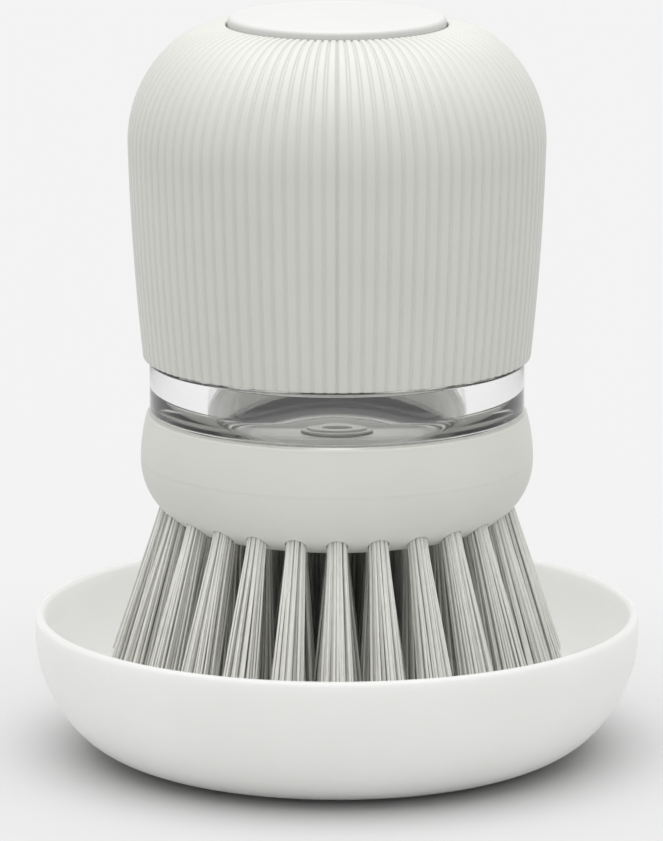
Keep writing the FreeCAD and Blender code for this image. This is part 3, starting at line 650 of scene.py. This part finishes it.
def front_spin(outline_at, angles):
    """Skin whose first angle faces the front."""
    vertices, faces = spin(outline_at, angles)
    turn = math.radians(FRONT)
    turned = []
    for x, y, z in vertices:
        across = x * math.cos(turn) - y * math.sin(turn)
        along = x * math.sin(turn) + y * math.cos(turn)
        turned.append((across, along, z))
    return turned, faces


add_piece("ribbed_cover", front_spin(cover_outline, sorted(cover_depths)), "cap", "body_plastic",
          ["grip_cover"], COVER_SHARP_ANGLE)


# Push button

def button_outline():
    top = button_high.z
    bottom = button_low.z
    flange_radius = button_high.x
    ceiling = top - BUTTON_ROOF
    flange_top = cover_high.z - BUTTON_FLANGE_DROP
    flange_bottom = flange_top - BUTTON_FLANGE
    hollow = PISTON_RADIUS - PISTON_WALL
    seal = bottom + SEAL_RISE
    groove = PISTON_RADIUS - SEAL_GROOVE_DEPTH
    post_end = ceiling - POST_HEIGHT
    points = [(0, post_end)]
    points += bend((POST_RADIUS - POST_EDGE, post_end), (POST_RADIUS, post_end),
                   (POST_RADIUS, post_end + POST_EDGE))
    points += [(POST_RADIUS, ceiling), (hollow, ceiling), (hollow, bottom), (PISTON_RADIUS, bottom)]
    points += [(PISTON_RADIUS, seal - SEAL_GROOVE_HALF), (groove, seal - SEAL_GROOVE_HALF)]
    points += [(groove, seal + SEAL_GROOVE_HALF), (PISTON_RADIUS, seal + SEAL_GROOVE_HALF)]
    points += [(PISTON_RADIUS, flange_bottom), (flange_radius, flange_bottom)]
    points += [(flange_radius, flange_top), (BUTTON_RADIUS, flange_top)]
    edge_centre = (BUTTON_RADIUS - BUTTON_EDGE, top - BUTTON_EDGE)
    points += arc(edge_centre, BUTTON_EDGE, 0, 90, BUTTON_EDGE_STEPS)
    points.append((0, top))
    return points


add_piece("thumb_button", turn_round(button_outline(), BUTTON_STEPS), "button", "button_plastic",
          ["push_button"])


# Return spring

def coil_mesh():
    """Round wire wound into a coil between the lid and the button."""
    steps = SPRING_TURN_STEPS * SPRING_TURNS
    radius = spring_high.x - SPRING_WIRE
    low = spring_low.z + SPRING_WIRE
    high = spring_high.z - SPRING_WIRE
    vertices = []
    for step in range(steps + 1):
        share = step / steps
        turn = 2 * math.pi * SPRING_TURNS * share
        for side in range(SPRING_SIDES):
            round_wire = 2 * math.pi * side / SPRING_SIDES
            reach = radius + SPRING_WIRE * math.cos(round_wire)
            height = low + (high - low) * share + SPRING_WIRE * math.sin(round_wire)
            vertices.append((reach * math.cos(turn) * MM, reach * math.sin(turn) * MM, height * MM))
    return vertices, skin_rings(0, steps + 1, SPRING_SIDES)


coil = add_piece("coil_spring", coil_mesh(), "cap", "spring_steel", ["return_spring"])
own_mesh(coil)


# Bristles

class TuftRow:
    """One ring of tufts: where each tuft leaves the head, which way it leans and how far it reaches."""

    def __init__(self, sizes):
        head_radius = block_high.x
        flat = head_radius - HEAD_CORNER
        self.radius = head_radius * sizes["share"]
        across = max(self.radius - flat, 0.0)
        self.mouth = block_low.z + HEAD_CORNER - math.sqrt(HEAD_CORNER ** 2 - across ** 2)
        self.lean = math.radians(sizes["splay"])
        self.fan = sizes["fan"]
        tip_height = REST_HEIGHT + sizes["gap"] + sizes["tip"] * math.sin(self.lean)
        self.length = (self.mouth - tip_height) / math.cos(self.lean)

    def place(self, azimuth, along, beside, outwards):
        """Point along one tuft's axis, moved sideways and outwards across it."""
        radius = self.radius + along * math.sin(self.lean) + outwards * math.cos(self.lean)
        height = self.mouth - along * math.cos(self.lean) + outwards * math.sin(self.lean)
        x = radius * math.cos(azimuth) - beside * math.sin(azimuth)
        y = radius * math.sin(azimuth) + beside * math.cos(azimuth)
        return Vector((x, y, height)) * MM


def packed_disc(count):
    """Even places over a disc of radius 1, in a sunflower pattern."""
    golden = math.pi * (3 - math.sqrt(5))
    return [(math.sqrt((index + 0.5) / count), index * golden) for index in range(count)]


def filament_line(row, azimuth, spread, angle, chance):
    """Points along one filament, from inside its hole to its cut tip."""
    inset = FILAMENT_RADIUS + FILAMENT_CLEARANCE
    root = (TUFT_RADIUS - inset) * spread
    reach = (row.fan - inset) * min(spread * chance.uniform(FAN_LEAST, FAN_MOST), 1.0)
    tip_angle = angle + chance.gauss(0.0, TIP_TWIST)
    wave = chance.uniform(-SWAY, SWAY)
    end = row.length - chance.uniform(0.0, TIP_UNEVENNESS)
    points = []
    for step in range(FILAMENT_STEPS + 1):
        along = FILAMENT_ROOT + (end - FILAMENT_ROOT) * step / FILAMENT_STEPS
        share = max(along, 0.0) / end
        fan = share ** FAN_CURVE
        beside = root * math.cos(angle) * (1 - fan) + reach * math.cos(tip_angle) * fan
        outwards = root * math.sin(angle) * (1 - fan) + reach * math.sin(tip_angle) * fan
        sway = wave * math.sin(math.pi * share)
        points.append(row.place(azimuth, along, beside + sway, outwards - sway))
    return points


def add_tube(vertices, faces, points):
    """Round closed tube along a nearly straight line of points."""
    along = (points[-1] - points[0]).normalized()
    side = along.cross(Vector((0.0, 0.0, 1.0)))
    if side.length < NEARLY_UPRIGHT:
        side = Vector((1.0, 0.0, 0.0))
    side.normalize()
    other = along.cross(side)
    first = len(vertices)
    for point in points:
        for corner in range(FILAMENT_SIDES):
            turn = 2 * math.pi * corner / FILAMENT_SIDES
            outwards = side * math.cos(turn) + other * math.sin(turn)
            vertices.append(point + outwards * FILAMENT_RADIUS * MM)
    faces.extend(skin_rings(first, len(points), FILAMENT_SIDES))


def bristle_mesh(sizes, seed):
    """All filaments of one ring of tufts."""
    row = TuftRow(sizes)
    chance = random.Random(seed)
    vertices = []
    faces = []
    for tuft in range(sizes["count"]):
        azimuth = math.radians(FRONT) + 2 * math.pi * tuft / sizes["count"]
        for spread, angle in packed_disc(sizes["filaments"]):
            twist = chance.uniform(-PLACE_TWIST, PLACE_TWIST)
            add_tube(vertices, faces, filament_line(row, azimuth, spread, angle + twist, chance))
    return vertices, faces


for seed, (row_name, row_sizes) in enumerate(TUFT_ROWS.items(), start=FIRST_SEED):
    add_piece(f"{row_name}_bristles", bristle_mesh(row_sizes, seed), "brush", "bristle",
              [f"{row_name}_tufts"], BRISTLE_SHARP_ANGLE)


# Finish of the CAD nodes that stay

for subpart in frame["record"]["subparts"]:
    node = frame["nodes"][subpart["node"]]
    node.data.materials.clear()
    node.data.materials.append(materials[subpart["material_slot"]])


# Floor, light and camera, in metres

FLOOR_HALF = 3.0
FLOOR_DROP = 0.00005
FLOOR_ROUGHNESS = 0.9
FLOOR_COLOUR = colour(202, 202, 202)
WORLD_LIGHT = 0.64
BACKDROP_WHITE = 0.87
TOP_LIGHT = 0.88 * math.pi
TRAY_TOP_LIGHT = 0.55 * math.pi
TOP_LIGHT_ANGLE = math.radians(80)
TOP_LIGHT_DIRECTION = (0.01, 0.08, -1.0)
TRAY_FILL = 0.024
TRAY_FILL_HEIGHT = 0.012
TANK_FILL = 0.01
TANK_FILL_HEIGHT = 0.075
FILL_SIZE = 0.0008
HEAD_FILL = 0.15 * math.pi
HEAD_FILL_ANGLE = math.radians(60)
HEAD_FILL_DIRECTION = (0.0, 0.5, 1.0)
PITCH = math.radians(11.889)
CAMERA_PLACE = (-0.0009, -1.00186, 0.26635)
SENSOR = 36.0
FOCAL_PIXELS = 6202.0
PHOTO_HEIGHT = 841.0
CLIP_NEAR = 0.01
CLIP_FAR = 20.0


def add_floor():
    mesh = bpy.data.meshes.new("floor")
    corners = [(-1, -1), (1, -1), (1, 1), (-1, 1)]
    vertices = [(right * FLOOR_HALF, back * FLOOR_HALF, -FLOOR_DROP) for right, back in corners]
    mesh.from_pydata(vertices, [], [(0, 1, 2, 3)])
    paint = Paint("floor")
    paint.fixed("Base Color", FLOOR_COLOUR)
    paint.fixed("Roughness", FLOOR_ROUGHNESS)
    paint.fixed("Specular IOR Level", 0.0)
    mesh.materials.append(paint.material)
    floor = bpy.data.objects.new("floor", mesh)
    bpy.context.scene.collection.objects.link(floor)


def light_world():
    """Even white light, with its own level where it is seen, mirrored or looked at through clear walls."""
    world = bpy.data.worlds.new("studio")
    bpy.context.scene.world = world
    world.use_nodes = True
    nodes = world.node_tree.nodes
    links = world.node_tree.links
    nodes.clear()
    lit = nodes.new("ShaderNodeBackground")
    lit.inputs["Color"].default_value = (1.0, 1.0, 1.0, 1.0)
    lit.inputs["Strength"].default_value = WORLD_LIGHT
    seen = nodes.new("ShaderNodeBackground")
    seen.inputs["Color"].default_value = (1.0, 1.0, 1.0, 1.0)
    seen.inputs["Strength"].default_value = BACKDROP_WHITE
    path = nodes.new("ShaderNodeLightPath")
    first = nodes.new("ShaderNodeMath")
    first.operation = "MAXIMUM"
    second = nodes.new("ShaderNodeMath")
    second.operation = "MAXIMUM"
    mix = nodes.new("ShaderNodeMixShader")
    output = nodes.new("ShaderNodeOutputWorld")
    links.new(path.outputs["Is Camera Ray"], first.inputs[0])
    links.new(path.outputs["Is Glossy Ray"], first.inputs[1])
    links.new(first.outputs["Value"], second.inputs[0])
    links.new(path.outputs["Is Transmission Ray"], second.inputs[1])
    links.new(second.outputs["Value"], mix.inputs["Fac"])
    links.new(lit.outputs["Background"], mix.inputs[1])
    links.new(seen.outputs["Background"], mix.inputs[2])
    links.new(mix.outputs["Shader"], output.inputs["Surface"])


def add_sun(name, strength, angle, direction):
    """Wide soft light that shines along a direction."""
    light = bpy.data.lights.new(name, "SUN")
    light.energy = strength
    light.angle = angle
    lamp = bpy.data.objects.new(name, light)
    lamp.rotation_euler = Vector(direction).to_track_quat("-Z", "Y").to_euler()
    bpy.context.scene.collection.objects.link(lamp)
    return lamp


def link_light(lamp, pieces, state):
    """Make a lamp light some pieces alone, or all but these."""
    named = bpy.data.collections.new(f"{lamp.name}_pieces")
    for piece in pieces:
        named.objects.link(piece)
    for member in named.collection_objects:
        member.light_linking.link_state = state
    lamp.light_linking.receiver_collection = named


def fill_only(lamp, pieces):
    """Make a lamp a fill light without shadows for some pieces alone."""
    lamp.data.use_shadow = False
    link_light(lamp, pieces, "INCLUDE")


def add_fill(name, strength, height):
    """Weak light on the axis, for the inside of a hollow piece."""
    light = bpy.data.lights.new(name, "POINT")
    light.energy = strength
    light.shadow_soft_size = FILL_SIZE
    lamp = bpy.data.objects.new(name, light)
    lamp.location = (0.0, 0.0, height)
    bpy.context.scene.collection.objects.link(lamp)
    return lamp


def add_camera():
    data = bpy.data.cameras.new("camera")
    data.sensor_width = SENSOR
    data.lens = SENSOR * FOCAL_PIXELS / PHOTO_HEIGHT
    data.clip_start = CLIP_NEAR
    data.clip_end = CLIP_FAR
    camera = bpy.data.objects.new("camera", data)
    camera.location = CAMERA_PLACE
    camera.rotation_euler = (math.pi / 2 - PITCH, 0.0, 0.0)
    bpy.context.scene.collection.objects.link(camera)
    bpy.context.scene.camera = camera


add_floor()
light_world()
top_light = add_sun("top_light", TOP_LIGHT, TOP_LIGHT_ANGLE, TOP_LIGHT_DIRECTION)
link_light(top_light, [tray_bowl], "EXCLUDE")
tray_light = add_sun("tray_light", TRAY_TOP_LIGHT, TOP_LIGHT_ANGLE, TOP_LIGHT_DIRECTION)
link_light(tray_light, [tray_bowl], "INCLUDE")
fill_only(add_fill("tray_fill", TRAY_FILL, TRAY_FILL_HEIGHT), [tray_bowl])
under_tank = [frame["nodes"][node] for node in ("brush_block", "valve_collar", "slit_valve")]
fill_only(add_fill("tank_fill", TANK_FILL, TANK_FILL_HEIGHT), [head_ring] + under_tank)
head_fill = add_sun("head_fill", HEAD_FILL, HEAD_FILL_ANGLE, HEAD_FILL_DIRECTION)
fill_only(head_fill, [head_ring, frame["nodes"]["brush_block"]])
add_camera()
bpy.context.scene.view_settings.view_transform = "Standard"
